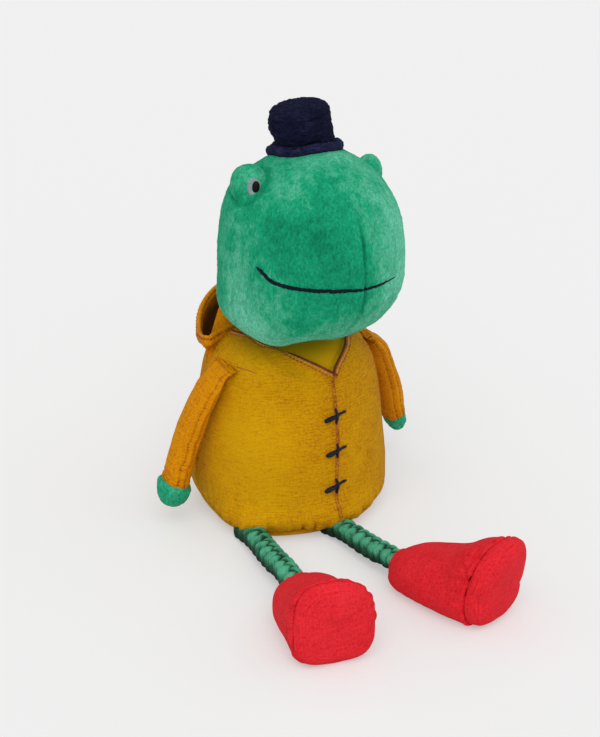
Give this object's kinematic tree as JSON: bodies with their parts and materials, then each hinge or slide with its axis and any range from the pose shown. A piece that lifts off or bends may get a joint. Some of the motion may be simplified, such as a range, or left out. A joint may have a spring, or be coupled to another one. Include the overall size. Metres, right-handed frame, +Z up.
{
  "type": "frog dog toy",
  "caption": "Stuffed sitting frog dog toy in a hooded canvas coat, with a plush head, a small fleece hat, loose sleeves, rope legs and padded boots.",
  "frame": {"origin": "middle of the coat's flat seat, on the floor", "axes": "+Z up, the toy looks along -Y, its left hand is at +X"},
  "size_m": [0.1829, 0.2421, 0.2441],
  "materials": {
    "coat_canvas": "woven cotton canvas, mustard, matt",
    "sleeve_canvas": "ribbed cotton canvas, orange mustard, matt",
    "green_plush": "short pile plush, brushed both ways",
    "green_rope": "plaited cord rope with a slight sheen",
    "navy_fleece": "fleece with a short nap, matt",
    "red_canvas": "woven cotton canvas, red, matt",
    "rust_thread": "sewing thread, rust brown",
    "navy_thread": "thick embroidery thread, navy",
    "polyester_fill": "loose polyester fibre",
    "eye_grey_thread": "satin stitch embroidery, pale grey",
    "eye_black_thread": "satin stitch embroidery, black",
    "squeaker_plastic": "moulded soft polyethylene, milky"
  },
  "bodies": {
    "torso": {"body_cover": "coat_canvas", "base_panel": "coat_canvas", "body_stuffing": "polyester_fill", "squeaker_bellows": "squeaker_plastic", "squeaker_reed": "squeaker_plastic", "placket_stitching": "rust_thread", "neckline_stitching": "rust_thread", "toggle_1": "navy_thread", "toggle_2": "navy_thread", "toggle_3": "navy_thread"},
    "neck_link": {"neck": "green_plush"},
    "head": {"head_cover": "green_plush", "head_stuffing": "polyester_fill", "right_eye_bump": "green_plush", "left_eye_bump": "green_plush", "right_eye_white": "eye_grey_thread", "left_eye_white": "eye_grey_thread", "right_eye_pupil": "eye_black_thread", "left_eye_pupil": "eye_black_thread", "mouth_thread": "navy_thread", "hat_crown": "navy_fleece", "hat_top": "navy_fleece", "hat_stuffing": "polyester_fill", "hat_brim": "navy_fleece"},
    "hood": {"hood": "coat_canvas", "hood_rim": "coat_canvas"},
    "right_arm": {"right_sleeve": "sleeve_canvas", "right_hand": "green_plush"},
    "left_arm": {"left_sleeve": "sleeve_canvas", "left_hand": "green_plush"},
    "right_leg": {"right_rope_leg": "green_rope"},
    "left_leg": {"left_rope_leg": "green_rope"},
    "right_foot": {"right_boot_upper": "red_canvas", "right_boot_stuffing": "polyester_fill", "right_boot_sole": "red_canvas"},
    "left_foot": {"left_boot_upper": "red_canvas", "left_boot_stuffing": "polyester_fill", "left_boot_sole": "red_canvas"}
  },
  "joints": [
    {"name": "neck_turn", "type": "hinge", "parent": "torso", "child": "neck_link", "pos_m": [0, -0.003, 0.099], "axis": [0, 0, 1], "range_deg": [-25, 25], "stiffness_Nm_per_rad": 0.3},
    {"name": "head_nod", "type": "hinge", "parent": "neck_link", "child": "head", "pos_m": [0, -0.003, 0.099], "axis": [1, 0, 0], "range_deg": [-6, 5], "stiffness_Nm_per_rad": 0.6, "springref_deg": -1.15},
    {"name": "hood_lift", "type": "hinge", "parent": "torso", "child": "hood", "pos_m": [0, 0.002, 0.11], "axis": [1, 0, 0], "range_deg": [0, 20]},
    {"name": "right_shoulder", "type": "hinge", "parent": "torso", "child": "right_arm", "pos_m": [-0.0505, -0.01, 0.099], "axis": [0, 1, 0], "range_deg": [0, 100]},
    {"name": "left_shoulder", "type": "hinge", "parent": "torso", "child": "left_arm", "pos_m": [0.0503, -0.01, 0.099], "axis": [0, -1, 0], "range_deg": [0, 100]},
    {"name": "right_hip", "type": "hinge", "parent": "torso", "child": "right_leg", "pos_m": [-0.0488, -0.0356, 0.0073], "axis": [-0.9833, 0.1822, 0], "range_deg": [-80, 45]},
    {"name": "right_ankle", "type": "hinge", "parent": "right_leg", "child": "right_foot", "pos_m": [-0.06279, -0.11108, 0.01334], "axis": [-0.9833, 0.1822, 0], "range_deg": [-25, 25]},
    {"name": "left_hip", "type": "hinge", "parent": "torso", "child": "left_leg", "pos_m": [-0.0034, -0.0566, 0.0073], "axis": [-0.9998, -0.0175, 0], "range_deg": [-80, 45]},
    {"name": "left_ankle", "type": "hinge", "parent": "left_leg", "child": "left_foot", "pos_m": [-0.00229, -0.12039, 0.01232], "axis": [-0.9998, -0.0175, 0], "range_deg": [-25, 25]}
  ]
}
